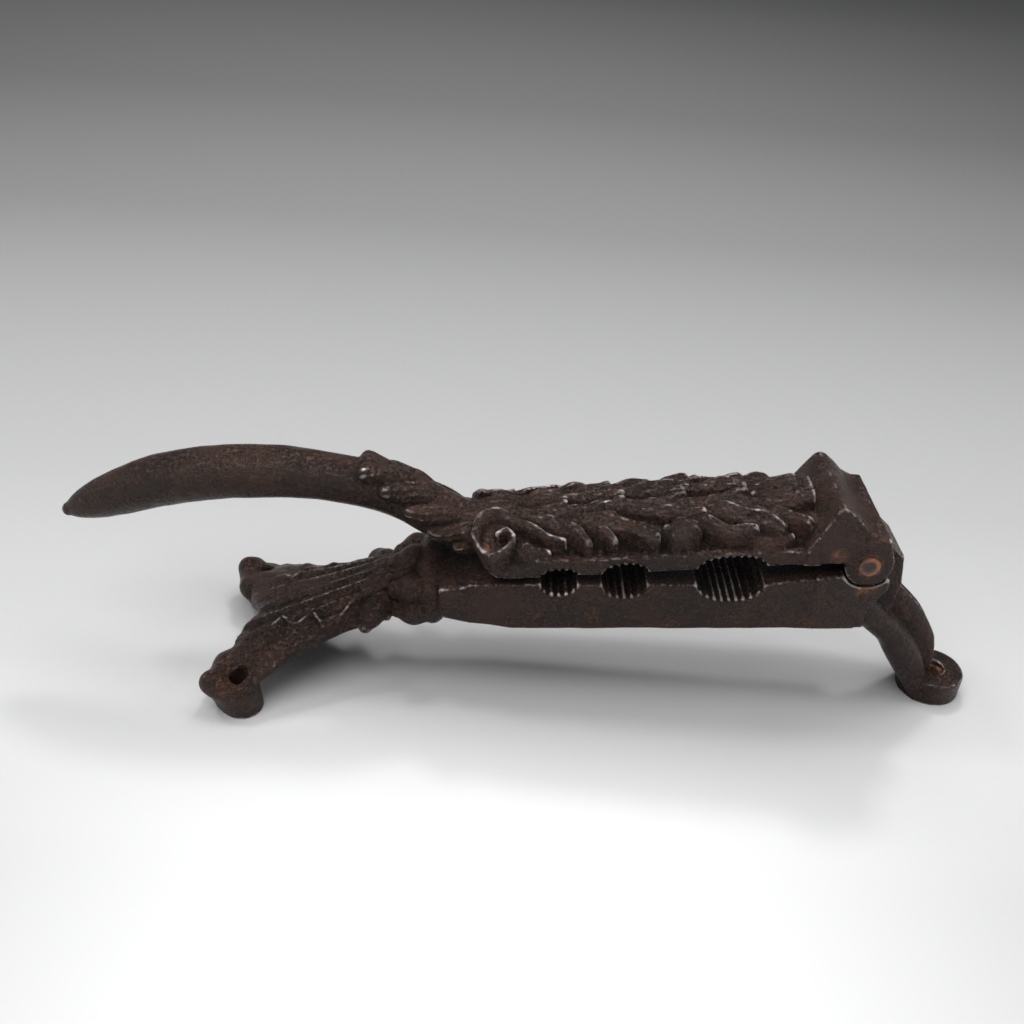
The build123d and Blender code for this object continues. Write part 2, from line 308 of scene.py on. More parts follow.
def crown_height(u, y):
    """Height of the upper jaw's back: worn acanthus in mirrored halves over a cushion, and a plain border."""
    border = 2.0 + 3.0 * smooth(u, -96, -24)
    crown = read(CROWN_LINE, u)
    across = np.clip(np.abs(y) / 17.2, 0, 1)
    skin = crown - (crown - border - 2.2) * across**2.4
    shoulder = 1 - smooth(u, -100, -90)
    slope = 9.6 - 0.70 * np.clip(np.abs(y) - 4.8, 0, None)
    skin = skin * (1 - shoulder) + slope * shoulder
    skin = skin + 0.35 * np.sin(u * 0.37 + np.abs(y) * 0.5) + 0.25 * np.sin(u * 0.83 - np.abs(y) * 0.7 + 1.0)
    wall = smooth(np.abs(y), 11.2, 15.2) * (1 - shoulder)
    height = (skin - 2.6) * (1 - wall) + np.minimum(border - 0.2, skin - 2.6) * wall
    for spine, half, depth, rise, tip, lean, dish in CROWN_LOBES:
        height = soft_max(height, skin + lobe(u, y, spine, half, depth, rise, tip, 0.22, lean, dish), 0.3)
    height = volute(u, y, height, skin)
    outside = smooth(np.abs(y), 10.5, 14.5)
    height = height - 3.0 * smooth(u, -17.5, -14.0) * outside + 2.0 * smooth(u, -23, -14.5) * (1 - outside)
    ledge = smooth(np.abs(y), 16.0, 16.7) * smooth(u, -102, -97)
    return height * (1 - ledge) + np.minimum(height, border) * ledge, border


def volute(u, y, height, skin):
    """A scroll on each shoulder at the arm end of the jaw."""
    (middle_u, middle_y), (size_u, size_y) = VOLUTE_MIDDLE, VOLUTE_SIZE
    r = np.sqrt(((u - middle_u) / size_u) ** 2 + ((y - middle_y) / size_y) ** 2)
    disc = 1 - smooth(r, 0.8, 1.05)
    height = height * (1 - disc) + (skin - 1.7 + 0.9 * np.exp(-((r / 0.35) ** 2))) * disc
    side_dish = lobe(u, y, SIDE_DISH, 2.3, 1.6, -1.0, -0.6, 0.0)
    height = soft_max(height, skin + side_dish, 0.4)
    rim = lobe(u, y, SCROLL, 1.55, 1.9, 1.2, 0.3, 0.0)
    return soft_max(height, skin + rim, 0.5)


# ---------------------------------------------------------------- lever casting


UNDERSIDE = [(-130, 6), (-109, 3.2), (-105.5, -1.6), (-102, -4.1), (-98, -4.3), (-23, 0.3), (-8, 0.7)]


def underside(u):
    """Lower face of the upper jaw with its serrated channels."""
    flat = read(UNDERSIDE, u)
    for middle, width, _, depth in CHANNELS:
        flat = flat + trough(u, middle, width, depth)
    return flat


def trough(u, middle, width, depth):
    """Depth of one rounded nut channel, with teeth along its bottom."""
    across = np.abs(u - middle) / (width / 2)
    hollow = depth * np.sqrt(np.clip(1 - across**2.6, 0, 1))
    teeth = TOOTH_DEPTH * (0.5 + 0.5 * np.cos(2 * np.pi * (u - middle) / TOOTH_PITCH))
    return np.maximum(hollow - teeth * (across < 0.92), 0)


# The arm and handle: u, height of the middle line, half width, half thickness
ARM = [
    (-100.0, 3.6, 8.6, 6.0),
    (-104.0, 2.4, 8.4, 7.0),
    (-110.3, 2.0, 7.8, 6.9),
    (-118.8, 6.2, 7.3, 6.8),
    (-126.5, 11.2, 7.1, 6.8),
    (-135.0, 15.0, 6.9, 6.8),
    (-144.0, 17.3, 6.8, 6.7),
    (-152.6, 18.8, 7.0, 6.9),
    (-161.0, 19.8, 7.3, 7.2),
    (-170.0, 20.0, 7.5, 7.5),
    (-178.6, 19.6, 7.5, 7.5),
    (-187.6, 18.5, 7.5, 7.5),
    (-196.8, 16.5, 7.3, 7.3),
    (-206.0, 13.5, 6.6, 6.6),
    (-214.0, 10.6, 5.4, 5.4),
    (-219.6, 8.6, 3.7, 3.7),
    (-222.6, 7.6, 2.0, 2.0),
]


def arm(u, y, w):
    """The arm and handle: ovals square to a curved middle line, with leaves laid over the arm."""
    line = rounded(ARM)[::-1]
    table = np.linspace(line[0, 0], line[-1, 0], 500)
    middle = np.interp(table, line[:, 0], line[:, 1])
    slope = np.gradient(middle, table)
    u, w = np.broadcast_arrays(u[:, 0, :], w[:, 0, :])
    foot = u.copy()
    for _ in range(4):
        at = np.interp(foot, table, middle)
        lean = np.interp(foot, table, slope)
        foot = foot + ((u - foot) + (w - at) * lean) / (1 + lean * lean)
        foot = np.clip(foot, table[0], table[-1])
    at = np.interp(foot, table, middle)
    lean = np.interp(foot, table, slope)
    up = ((w - at) - lean * (u - foot)) / np.sqrt(1 + lean * lean)
    off = np.abs((u - foot) + lean * (w - at)) / np.sqrt(1 + lean * lean)
    wide = np.interp(foot, line[:, 0], line[:, 2])
    tall = np.interp(foot, line[:, 0], line[:, 3])
    up, off, wide, tall, foot = (x[:, None, :] for x in (up, off, wide, tall, foot))
    angle = np.arctan2(y / wide, up / tall)
    far = np.sqrt((y / wide) ** 2 + (up / tall) ** 2 + (off / tall) ** 2)
    return (far - 1) * np.minimum(wide, tall) - arm_leaves(foot, angle * 7.0)


# Leaves laid over the arm: u of the tip, how far down the side it ends, length
ARM_LEAVES = [
    (-139.5, 5.0, 10.0),
    (-133.0, 8.0, 11.5),
    (-126.0, 10.5, 12.5),
    (-118.5, 12.5, 11.5),
    (-111.5, 13.5, 9.0),
]
LEAF_SPAN = (-146, -100)
LEAF_DOWN = 22
LEAF_GRID = (140, 80)


def arm_leaves(u, around):
    """Leaf relief on the arm. around is the distance from the top line, measured over the skin."""
    start, end = LEAF_SPAN
    rows, columns = LEAF_GRID
    us = np.linspace(start, end, rows)[:, None]
    skin = np.linspace(0, LEAF_DOWN, columns)[None, :]
    relief = np.zeros(LEAF_GRID)
    for tip, low, length in ARM_LEAVES:
        drops = ((1.0, 6.0), (0.6, 3.4), (0.3, 1.2), (0.0, 0.0))
        spine = [(tip + length * part, low - drop) for part, drop in drops]
        relief = np.maximum(relief, lobe(us, skin, spine, 3.4, 2.4, 1.4, 1.2, 0.3, 0.16))
    top = 0.7 * np.exp(-((skin / 2.8) ** 2)) * smooth(us, -141, -136)
    relief = np.maximum(relief, top)
    relief = relief * smooth(us, -143, -139.5) * (1 - smooth(us, -108, -101))
    i = np.clip((u - start) / (end - start) * (rows - 1), 0, rows - 1.01)
    j = np.clip(np.abs(around) / LEAF_DOWN * (columns - 1), 0, columns - 1.01)
    i, j = np.broadcast_arrays(i, j)
    a, b = i.astype(int), j.astype(int)
    s, t = i - a, j - b
    near = relief[a, b] * (1 - s) * (1 - t) + relief[a + 1, b] * s * (1 - t)
    return near + relief[a, b + 1] * (1 - s) * t + relief[a + 1, b + 1] * s * t


# Outlines in (u, w): the crest over the hinge, and the block that joins each ear to it
CREST = [
    (-17.5, 0.55), (-6.65, 0.7), (-5.5, 3.6), (0, 7.4), (4.6, 7.4), (4.8, 8.6), (1.8, 9.0), (-1.4, 10.9),
    (-4.4, 14.3), (-6.9, 16.6), (-8.6, 17.4), (-10.2, 16.6), (-12.2, 13.8), (-14.6, 9.4), (-17.5, 5.6),
]
EAR_BLOCK = [(-6.5, 0.7), (-5.5, 4.5), (0, 8.2), (4.8, 8.2), (6.6, 1.5), (0, -3)]
EAR_MIDDLE, EAR_HALF = 13.325, 4.425


def lever_clay():
    clay = Clay((-226.5, 0, -9.0), (8.0, 19.5, 29.0))

    def jaw(u, y, w):
        flat_u, flat_y = u[:, :, 0], y[:, :, 0]
        height, border = crown_height(flat_u, flat_y)
        scale = level(height)
        top = (w - height[:, :, None]) * scale[:, :, None]
        under = underside(u)
        low = (under - w) * level(under[:, :, 0])[:, :, None]
        half = JAW_HALF - 8.2 * (1 - smooth(u, -111.5, -101.5)) ** 1.5
        side = (y - half) * 0.9
        side = soft_max(side, JAW_LEFT - u, 3.0)
        value = soft_max(top, side, 0.7)
        value = soft_max(value, low, 0.6)
        return np.maximum(value, u - JAW_RIGHT)

    clay.add((-113, -1, -9), (-13, 19, 29), jaw)

    def crest(u, y, w):
        lean = 0.16 * np.clip(w - 5.0, 0, None)
        value = polygon(CREST, WIDE, 0.2)(u, y, w)
        ridge = 0.3 * (np.sin(y * 0.55) - 1.0) * smooth(w, 10, 16)
        return soft_max(value - ridge, y - JAW_HALF + lean, 0.7)

    clay.add((-20, -1, -2), (8, 19.5, 22), crest, 1.2)

    def ear(u, y, w):
        disc = np.sqrt(u * u + w * w) - EAR_R
        block = polygon(EAR_BLOCK, WIDE, 0.2)(u, y, w)
        return soft_max(soft_min(disc, block, 0.6), np.abs(y - EAR_MIDDLE) - EAR_HALF, 0.8)

    clay.carve((-9, -1, -9), (9, EAR_INNER, 7.3), about_pin(TONGUE_ROOM_R))
    clay.add((-9, 8, -9), (8, 19.5, 12), ear, 0.5)
    clay.add((-226.5, -1, -9), (-96, 19, 29), arm, 2.2)
    clay.add((-143, -1, 16), (-129, 10, 29), ellipsoid((-137.4, 0, 21.2), (3.3, 4.6, 3.4)), 0.9)
    clay.add((-143, 1, 16), (-129, 12, 29), ellipsoid((-137.2, 4.0, 20.6), (1.9, 1.5, 1.9)), 0.3)
    clay.carve((-12, 6, -4), (4, 19.5, 4), about_pin(PIN_HOLE_R))
    return clay


# ---------------------------------------------------------------- base casting


BAR_UPPER = [(-124, -8.3), (-112.5, -7.4), (-109.5, BAR_TOP), (-28, BAR_TOP), (-12, -4.0), (2, -3.5)]
BAR_LOWER = [(-126, -16.4), (-118, -17.6), (-110, -19.6), (-98, BAR_BOTTOM), (20, BAR_BOTTOM)]


def bar(u, y, w):
    """The lower jaw, with its channels."""
    top = read(BAR_UPPER, u)
    for middle, width, depth, _ in CHANNELS:
        top = top - trough(u, middle, width, depth)
    bottom = read(BAR_LOWER, u)
    scale = level(top[:, :, 0])[:, :, None]
    value = soft_max((w - top) * scale, bottom - w, 0.5)
    value = soft_max(value, y - JAW_HALF, 0.7)
    value = soft_max(value, BAR_LEFT - u, 1.4)
    return np.maximum(value, u + 1.5)


CHEEK_END = [
    (-20, -4.2), (-6.8, -3.5), (4.6, -3.5), (6.6, -5.0), (6.6, -8.0), (4.8, -11.0), (2.4, -14.0),
    (1.6, -17.5), (1.8, BAR_BOTTOM), (-20, BAR_BOTTOM),
]
TONGUE = [
    (-13, -4.2), (-8.2, -4.0), (-5.0, -4.0), (5.7, 2.6), (9.3, 0.2), (12.9, -3.4), (13.8, -12.6),
    (12.4, BAR_BOTTOM), (-13, BAR_BOTTOM),
]


# Sections of the fan: u, half width, height of the middle, thickness, how far the edges drop
FAN = [
    (-184, 32.0, -33.0, 5.6, 7.4),
    (-176, 31.0, -28.8, 5.8, 6.8),
    (-170, 28.8, -26.2, 6.0, 5.4),
    (-164, 24.6, -24.0, 6.2, 4.6),
    (-158, 20.4, -22.0, 6.6, 4.2),
    (-152, 16.8, -19.8, 7.2, 4.4),
    (-146, 14.2, -17.4, 8.0, 4.8),
    (-140, 12.6, -15.0, 8.8, 5.0),
    (-132, 11.0, -12.6, 9.6, 5.4),
]


def fan(u, y, w):
    """The leaf that widens from the collar and parts into two legs."""
    flat_u, flat_y = u[:, :, 0], y[:, :, 0]
    stations, *columns = zip(*FAN)
    half, top, thick, drop = (np.interp(flat_u, stations, column) for column in columns)
    across = np.clip(flat_y / half, 0, 1)
    skin = top - drop * across**3
    relief = skin + fan_relief(flat_u, flat_y)
    bottom = top - thick - 0.45 * drop * across**2
    scale = level(relief)
    value = soft_max((w - relief[:, :, None]) * scale[:, :, None], (bottom[:, :, None] - w) * 0.9, 2.2)
    value = soft_max(value, (flat_y - half)[:, :, None] * 0.8, 2.4)
    value = soft_max(value, u + 133.0, 2.0)
    notch = np.where(flat_y > 17.5, SUNK, (-172.5 - 0.62 * flat_y) - flat_u)
    return soft_max(value, notch[:, :, None] * 0.8, 2.0)


# Where the upper leaf of the fan ends in scallops over each leg: (u, y)
SCALLOPS = [
    (-178, 16.8), (-172, 14.2), (-167, 13.4), (-164.4, 10.8), (-161.6, 13.9), (-158.8, 14.5),
    (-155.2, 12.2), (-151.4, 17.0), (-148.6, 17.3), (-144.8, 12.2), (-141, 10.0), (-135.3, 8.7),
]


def fan_relief(u, y):
    """Height over the fan's skin: a ribbed upper leaf with a turned-up scalloped edge, and smooth legs."""
    edge = np.interp(u, *rounded(SCALLOPS, 6).T)
    inside = edge - y
    guide = np.interp(u, [-178, -134], [16.0, 9.0])
    ribs = 0.45 * np.cos(2 * np.pi * 2.4 * y / guide) + 0.2 * np.cos(2 * np.pi * 5.3 * y / guide + 0.09 * u)
    lip = 0.8 * np.exp(-(((inside - 1.1) / 1.2) ** 2))
    leaf = (0.5 + ribs * smooth(inside, 0.8, 3.0) + lip) * smooth(inside, -0.3, 0.5)
    shin = 0.35 * np.cos(2 * np.pi * (y - edge) / 7.5) * (1 - smooth(inside, -0.3, 0.5))
    return leaf + shin


def base_clay():
    clay = Clay((-196.0, 0, -61.0), (46.0, 36.0, 6.5))
    clay.add((-124, -1, -26), (9, 19.5, -1), bar)
    clay.add((-14, -1, -26), (18, 19.5, -1), polygon(CHEEK_END, JAW_HALF, 0.6), 0.6)
    clay.carve((-10, TONGUE_HALF, -12), (10, 22, 6), about_pin(SOCKET_R))

    def tongue(u, y, w):
        round_top = np.sqrt(u * u + w * w) - 6.4
        body = np.minimum(polygon(TONGUE, WIDE, 0.2)(u, y, w), round_top)
        return soft_max(body, np.abs(y) - TONGUE_HALF, 0.8)

    clay.add((-9, -1, -26), (20, 9.5, 6.5), tongue)
    collar(clay)
    clay.add((-178, -1, -48), (-130, 33, -8), fan, 1.6)
    front_foot(clay)
    rear_leg(clay)
    cut_ground(clay)
    return clay


def collar(clay):
    """A wrapped leaf round the end of the bar: a plain band and, before it, a row of fat leaf ends."""
    low, high = (-146, -1, -36), (-108, 24, 4)
    clay.add(low, high, ellipsoid((-120.6, 0, -16.0), (6.4, 16.8, 11.6)), 1.6)
    clay.add(low, high, ellipsoid((-127.4, 0, -17.6), (7.0, 11.6, 9.0)), 1.0)
    for degrees in (90, 34, -16, -62):
        angle = math.radians(degrees)
        y, w = 11.8 * math.cos(angle), -17.2 + 6.6 * math.sin(angle)
        spine = [(-120.4, y * 1.04, w + 0.8), (-125.8, y * 1.06, w + 0.2), (-130.2, y * 0.93, w - 0.6)]
        clay.add(low, high, chain(spine, [4.0, 4.6, 3.0], 1.0), 0.3)
    clay.add(low, high, ellipsoid((-134.0, 0, -18.0), (6.0, 9.4, 6.4)), 1.5)
    tip = [(-135.4, 10.4, -17.8), (-138.0, 13.6, -20.0), (-139.4, 16.6, -21.8)]
    clay.add(low, high, chain(tip, [3.7, 3.6, 2.0], 1.0), 0.5)
    clay.add(low, high, ellipsoid((-133.6, 12.4, -21.0), (1.4, 1.5, 1.7)), 0.3)


def front_foot(clay):
    """A flared pad at the end of a leg, with two knuckled toes ahead of it and a sunk screw hole."""
    pad_x, pad_y, pad_r, pad_h = FRONT_PAD
    low, high = (-196, 0, -61), (-158, 36, -14)

    def pad(u, y, w):
        x, z = ground(u, w)
        lean_x, lean_y = x - pad_x + 0.24 * z - 1.0, y - pad_y - 0.05 * z - 0.2
        side = np.sqrt(lean_x**2 + lean_y**2) - pad_r + 1.0 - 0.12 * z
        return soft_max(side, z - pad_h - 2.2, 2.0)

    clay.add(low, high, pad, 1.6)
    outer = [(-176.5, 28.6, -36.0), (-180.6, 28.2, -33.6), (-182.2, 27.6, -32.8)]
    clay.add(low, high, chain(outer, [2.6, 3.4, 3.5], 1.0), 1.4)
    inner = [(-168.0, 15.4, -28.6), (-174.4, 17.2, -31.4), (-179.4, 19.0, -34.0)]
    clay.add(low, high, chain(inner, [2.8, 3.6, 4.4], 1.0), 1.0)
    web = [(-179.0, 20.6, -37.2), (-180.8, 24.6, -36.6), (-178.0, 24.2, -42.6)]
    clay.add(low, high, chain(web, [3.8, 3.8, 4.8], 1.5), 1.8)
    knuckles = [(-181.8, 26.4, -33.6), (-180.2, 21.0, -34.4)]
    clay.add(low, high, chain(knuckles, [3.2, 3.6], 1.0), 1.2)
    rim = [(-173.0, 22.0, -35.6), (-176.4, 22.2, -37.0), (-177.6, 25.4, -38.2), (-175.6, 28.4, -38.0)]
    clay.add(low, high, chain(rim, [1.0, 1.2, 1.2, 1.0], 1.0), 0.6)

    def screw(u, y, w):
        x, z = ground(u, w)
        return np.sqrt((x - pad_x) ** 2 + (y - pad_y) ** 2) - SCREW_R + 0 * z

    clay.carve(low, high, screw, 0.5)


# The hinge leg by height w: middle and half thickness of the side lobes, how far they stand from the middle
# plane, and where the front of the spine between them lies
REAR_LEG = [
    (1.8, -15.0, 4.2, 9.2, 13.6),
    (4.6, -21.0, 5.8, 8.8, 19.6),
    (9.6, -26.5, 6.0, 7.6, 24.6),
    (15.4, -33.0, 5.6, 6.2, 28.6),
    (19.0, -39.0, 5.6, 5.6, 31.2),
    (22.0, -45.0, 5.0, 4.8, 32.6),
    (25.2, -51.0, 4.4, 3.8, 32.2),
    (28.4, -57.0, 4.0, 3.4, 31.6),
]


def rear_leg(clay):
    """A leg of two rounded lobes either side of a tall double-ribbed spine, ending in a round pad."""
    pad_x, pad_r, pad_h = REAR_PAD
    low, high = (-6, -1, -62), (46, 18, -6)
    table = np.linspace(-58, -12, 90)
    line = rounded(REAR_LEG)[::-1]
    middle, thick, apart, front = (np.interp(table, line[:, 1], line[:, i]) for i in (0, 2, 3, 4))

    def oval(u, y, centre, deep, wide):
        across = (np.abs((u - centre) / deep) ** 2.5 + np.abs(y / wide) ** 2.5 + 1e-6) ** 0.4
        return (across - 1) * np.minimum(deep, wide) * 0.8

    def leg(u, y, w):
        centre, deep, off, nose = (np.interp(w, table, values) for values in (middle, thick, apart, front))
        side = oval(u, y - off, centre, deep, 4.8)
        half = (nose - centre) / 2 + 1.0
        spine = oval(u, y, nose - half, half, 4.0)
        spine = spine + 1.0 * np.exp(-((y / 1.0) ** 2)) * smooth(u - nose, -6.0, -2.0)
        body = soft_min(side, spine, 1.0)
        body = soft_min(body, oval(u, y, centre + 1.0, deep * 0.8, off + 1), 0.6)
        return soft_max(body, w + 13.0, 2.0)

    clay.add(low, high, leg, 1.4)

    def pad(u, y, w):
        x, z = ground(u, w)
        rim = np.sqrt((x - pad_x) ** 2 + y * y) - pad_r
        return soft_max(rim, z - pad_h, 1.0)

    clay.add(low, high, pad, 0.8)

    def screw(u, y, w):
        x, z = ground(u, w)
        far = np.sqrt((x - pad_x) ** 2 + y * y)
        head = np.maximum(far - SCREW_HEAD_R + 0.6, pad_h - 1.4 - z)
        return np.minimum(far - SCREW_R, head)

    clay.carve(low, high, screw, 0.5)


def cut_ground(clay):
    clay.carve((-196, -1, -61), (46, 36, -36), lambda u, y, w: ground(u, w)[1] + 0 * y)


# ---------------------------------------------------------------- wear, painted light and materials


WEAR_AND_SHADE_ROUNDS = 10
FINE_ROUNDS = 2


def wear_and_shade_layers(mesh):
    """Stores how far each point stands out of the skin round it, near by (fine: worn edges and painted highlight)
    and further off (broad: painted shade in hollows).
    """
    count = len(mesh.vertices)
    place = np.empty(count * 3, np.float32)
    mesh.vertices.foreach_get("co", place)
    place = place.reshape(-1, 3)
    normal = np.empty(count * 3, np.float32)
    mesh.vertex_normals.foreach_get("vector", normal)
    normal = normal.reshape(-1, 3)
    ends = np.empty(len(mesh.edges) * 2, np.int64)
    mesh.edges.foreach_get("vertices", ends)
    a, b = ends.reshape(-1, 2).T
    degree = np.bincount(a, minlength=count) + np.bincount(b, minlength=count)

    def spread(values):
        out = np.zeros_like(values)
        for axis in range(values.shape[1]):
            out[:, axis] = np.bincount(a, values[b, axis], count) + np.bincount(b, values[a, axis], count)
        return out / np.maximum(degree, 1)[:, None]

    near, far = place, place
    for i in range(WEAR_AND_SHADE_ROUNDS):
        far = 0.5 * far + 0.5 * spread(far)
        if i == FINE_ROUNDS - 1:
            near = far
    fine = np.einsum("ij,ij->i", place - near, normal) * 1000
    broad = np.einsum("ij,ij->i", place - far, normal) * 1000
    for name, values in (("fine", fine), ("broad", broad)):
        values = spread(values[:, None])[:, 0]
        layer = mesh.attributes.new(name, "FLOAT", "POINT")
        layer.data.foreach_set("value", values.astype(np.float32))


class Paint:
    """Short words for building a node material."""

    def __init__(self, name):
        self.material = bpy.data.materials.new(name)
        self.material.use_nodes = True
        self.tree = self.material.node_tree
        self.shader = self.tree.nodes["Principled BSDF"]
        self.place = self.node("ShaderNodeTexCoord").outputs["Object"]

    def node(self, kind, **values):
        node = self.tree.nodes.new(kind)
        for key, value in values.items():
            setattr(node, key, value)
        return node

    def link(self, source, target):
        self.tree.links.new(source, target)

    def noise(self, scale, detail, rough, warp=0.0):
        node = self.node("ShaderNodeTexNoise")
        self.link(self.place, node.inputs["Vector"])
        node.inputs["Scale"].default_value = scale
        node.inputs["Detail"].default_value = detail
        node.inputs["Roughness"].default_value = rough
        node.inputs["Distortion"].default_value = warp
        return node.outputs["Fac"]

    def layer(self, name):
        return self.node("ShaderNodeAttribute", attribute_name=name).outputs["Fac"]

    def span(self, value, low, high, start=0.0, end=1.0):
        node = self.node("ShaderNodeMapRange", interpolation_type="SMOOTHSTEP")
        self.link(value, node.inputs["Value"])
        for key, number in zip(("From Min", "From Max", "To Min", "To Max"), (low, high, start, end)):
            node.inputs[key].default_value = number
        return node.outputs["Result"]

    def math(self, how, a, b):
        node = self.node("ShaderNodeMath", operation=how)
        for socket, value in zip(node.inputs, (a, b)):
            if isinstance(value, (int, float)):
                socket.default_value = value
            else:
                self.link(value, socket)
        return node.outputs[0]

    def mix(self, amount, first, second):
        node = self.node("ShaderNodeMix", data_type="RGBA")
        self.link(amount, node.inputs["Factor"])
        for socket, value in ((node.inputs[6], first), (node.inputs[7], second)):
            if isinstance(value, tuple):
                socket.default_value = (*value, 1)
            else:
                self.link(value, socket)
        return node.outputs[2]

    def near(self, centre, inner, outer):
        """1 close to a place of the object, 0 past outer metres."""
        node = self.node("ShaderNodeVectorMath", operation="DISTANCE")
        self.link(self.place, node.inputs[0])
        node.inputs[1].default_value = centre
        return self.span(node.outputs["Value"], inner, outer, 1.0, 0.0)

    def bump(self, height, distance, strength, after=None):
        node = self.node("ShaderNodeBump")
        node.inputs["Distance"].default_value = distance
        node.inputs["Strength"].default_value = strength
        self.link(height, node.inputs["Height"])
        if after is not None:
            self.link(after, node.inputs["Normal"])
        return node.outputs["Normal"]


DARK, BROWN = (0.0080, 0.0050, 0.0042), (0.034, 0.0165, 0.0120)
RUST, ORANGE = (0.085, 0.034, 0.018), (0.20, 0.080, 0.035)
# The next line's first colour is the rubbed-edge colour, which is also used as a painted highlight.
# The next line's second colour is near-black painted shade for deep hollows.
WORN_AND_GLINT, HOLLOW_SHADE = (0.62, 0.55, 0.53), (0.004, 0.003, 0.0026)
PIN_DARK, PIN_BROWN, PIN_RIM = (0.06, 0.035, 0.027), (0.30, 0.11, 0.045), (0.030, 0.017, 0.013)


def iron(name, rust_places):
    """Old waxed cast iron: dark patina, brown bloom, rust in hollows, painted shade in deep hollows, worn edges
    lightened as painted highlight, pitted skin.
    """
    p = Paint(name)
    cloud = p.noise(55, 5, 0.6, 0.4)
    grain = p.noise(900, 5, 0.65)
    speck = p.noise(2300, 3, 0.6)
    tone = p.math("ADD", p.math("MULTIPLY", cloud, 0.55), p.math("MULTIPLY", grain, 0.45))
    colour = p.mix(p.span(tone, 0.40, 0.60), DARK, BROWN)
    colour = p.mix(p.math("MULTIPLY", p.span(speck, 0.56, 0.68), 0.5), colour, RUST)
    bloom = p.span(p.math("ADD", p.noise(130, 6, 0.7, 0.3), p.math("MULTIPLY", grain, 0.3)), 0.68, 0.90)
    colour = p.mix(p.math("MULTIPLY", bloom, 0.6), colour, RUST)
    # Painted shade: points sunk below the skin round them (the broad layer) are darkened towards near black.
    deep = p.span(p.layer("broad"), -0.02, -0.12)
    colour = p.mix(p.math("MULTIPLY", deep, 0.9), colour, HOLLOW_SHADE)
    orange = p.near(*rust_places[0])
    for place in rust_places[1:]:
        orange = p.math("MAXIMUM", orange, p.near(*place))
    orange = p.math("MULTIPLY", orange, p.span(p.noise(420, 5, 0.65), 0.36, 0.62))
    colour = p.mix(orange, colour, ORANGE)
    ragged = p.math("MULTIPLY", p.math("SUBTRACT", grain, 0.5), 0.05)
    # Worn edges: points standing out of the skin round them (the fine layer) are lightened to near white; this is
    # real rubbed wear and also a painted highlight, whatever the lamps.
    edge = p.span(p.math("ADD", p.layer("fine"), ragged), 0.022, 0.060)
    edge = p.math("MULTIPLY", edge, p.span(p.noise(160, 3, 0.5), 0.36, 0.58, 0.45, 1.0))
    colour = p.mix(p.math("MULTIPLY", edge, 0.85), colour, WORN_AND_GLINT)
    p.link(colour, p.shader.inputs["Base Color"])
    uneven = p.math("ADD", p.math("MULTIPLY", cloud, 0.6), p.math("MULTIPLY", grain, 0.4))
    p.link(p.span(uneven, 0.3, 0.72, 0.13, 0.44), p.shader.inputs["Roughness"])
    p.link(p.span(edge, 0.2, 0.9, 0.05, 0.5), p.shader.inputs["Metallic"])
    p.shader.inputs["Specular IOR Level"].default_value = 0.34
    p.shader.inputs["Specular Tint"].default_value = (1.0, 0.86, 0.80, 1)
    pits = p.bump(p.span(grain, 0.30, 0.62), 0.0005, 1.0)
    lumps = p.bump(p.noise(320, 4, 0.6), 0.0006, 0.6, pits)
    p.link(p.bump(speck, 0.00028, 1.0, lumps), p.shader.inputs["Normal"])
    return p.material


def casting(clay, name, body, nodes, slot, skin, rust_places):
    """One sculpted casting in place of its CAD solids."""
    mesh = clay.mesh(name)
    mesh.shade_smooth()
    wear_and_shade_layers(mesh)
    piece = bpy.data.objects.new(name, mesh)
    bpy.context.collection.objects.link(piece)
    mesh.materials.append(iron(skin, rust_places))
    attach(piece, body)
    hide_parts(*nodes)


def spot(u, y, w, inner, outer):
    """A rust spot in metres: its middle, and the radii between which it fades."""
    return [value / 1000 for value in to_part(u, y, w)], inner / 1000, outer / 1000


# Rust spots on one side, mirrored on the other: u, y, w, inner radius, outer radius
LEVER_RUST = [(0, 17.8, 0, 2.6, 4.4), (-9.0, 17.8, 3.4, 0.3, 3.4), (-105.0, 12.0, 1.0, 0.5, 3.5)]
BASE_RUST = [(0.5, 17.0, -7.6, 1.0, 4.6)]
PAD_RUST = (33.0, 0, -54.5, 2.0, 5.5)


def both_sides(places):
    return [spot(u, side * y, w, inner, outer) for u, y, w, inner, outer in places for side in (-1, 1)]


def build_castings():
    base_rust = [*both_sides(BASE_RUST), spot(*PAD_RUST)]
    lever_rust = both_sides(LEVER_RUST)
    bodies = frame["record"]["behaviour"]["bodies"]
    base_nodes = bodies["base"]
    lever_nodes = [node for node in bodies["lever"] if node != "hinge_pin"]
    base_skin = ("base_iron", "base_iron_skin", base_rust)
    lever_skin = ("lever_iron", "lever_iron_skin", lever_rust)
    casting(base_clay(), "base_casting", "base", base_nodes, *base_skin)
    casting(lever_clay(), "lever_casting", "lever", lever_nodes, *lever_skin)
    pin = frame["nodes"]["hinge_pin"]
    pin.data.materials.clear()
    pin.data.materials.append(pin_material())


def pin_material():
    """Rusty pin ends with a dark ring where they are peened."""
    p = Paint("pin_skin")
    grain = p.noise(1100, 5, 0.65)
    colour = p.mix(p.span(p.noise(300, 4, 0.6), 0.35, 0.65), PIN_DARK, PIN_BROWN)
    colour = p.mix(p.span(grain, 0.6, 0.72), colour, ORANGE)
    for side in (-1, 1):
        head = [PIN_X / 1000, side * JAW_HALF / 1000, PIN_Z / 1000]
        colour = p.mix(p.near(head, 0.0013, 0.0023), colour, PIN_RIM)
    p.link(colour, p.shader.inputs["Base Color"])
    p.link(p.span(grain, 0.3, 0.7, 0.4, 0.75), p.shader.inputs["Roughness"])
    p.link(p.bump(grain, 0.0003, 0.8), p.shader.inputs["Normal"])
    return p.material


# ---------------------------------------------------------------- stage, light and camera


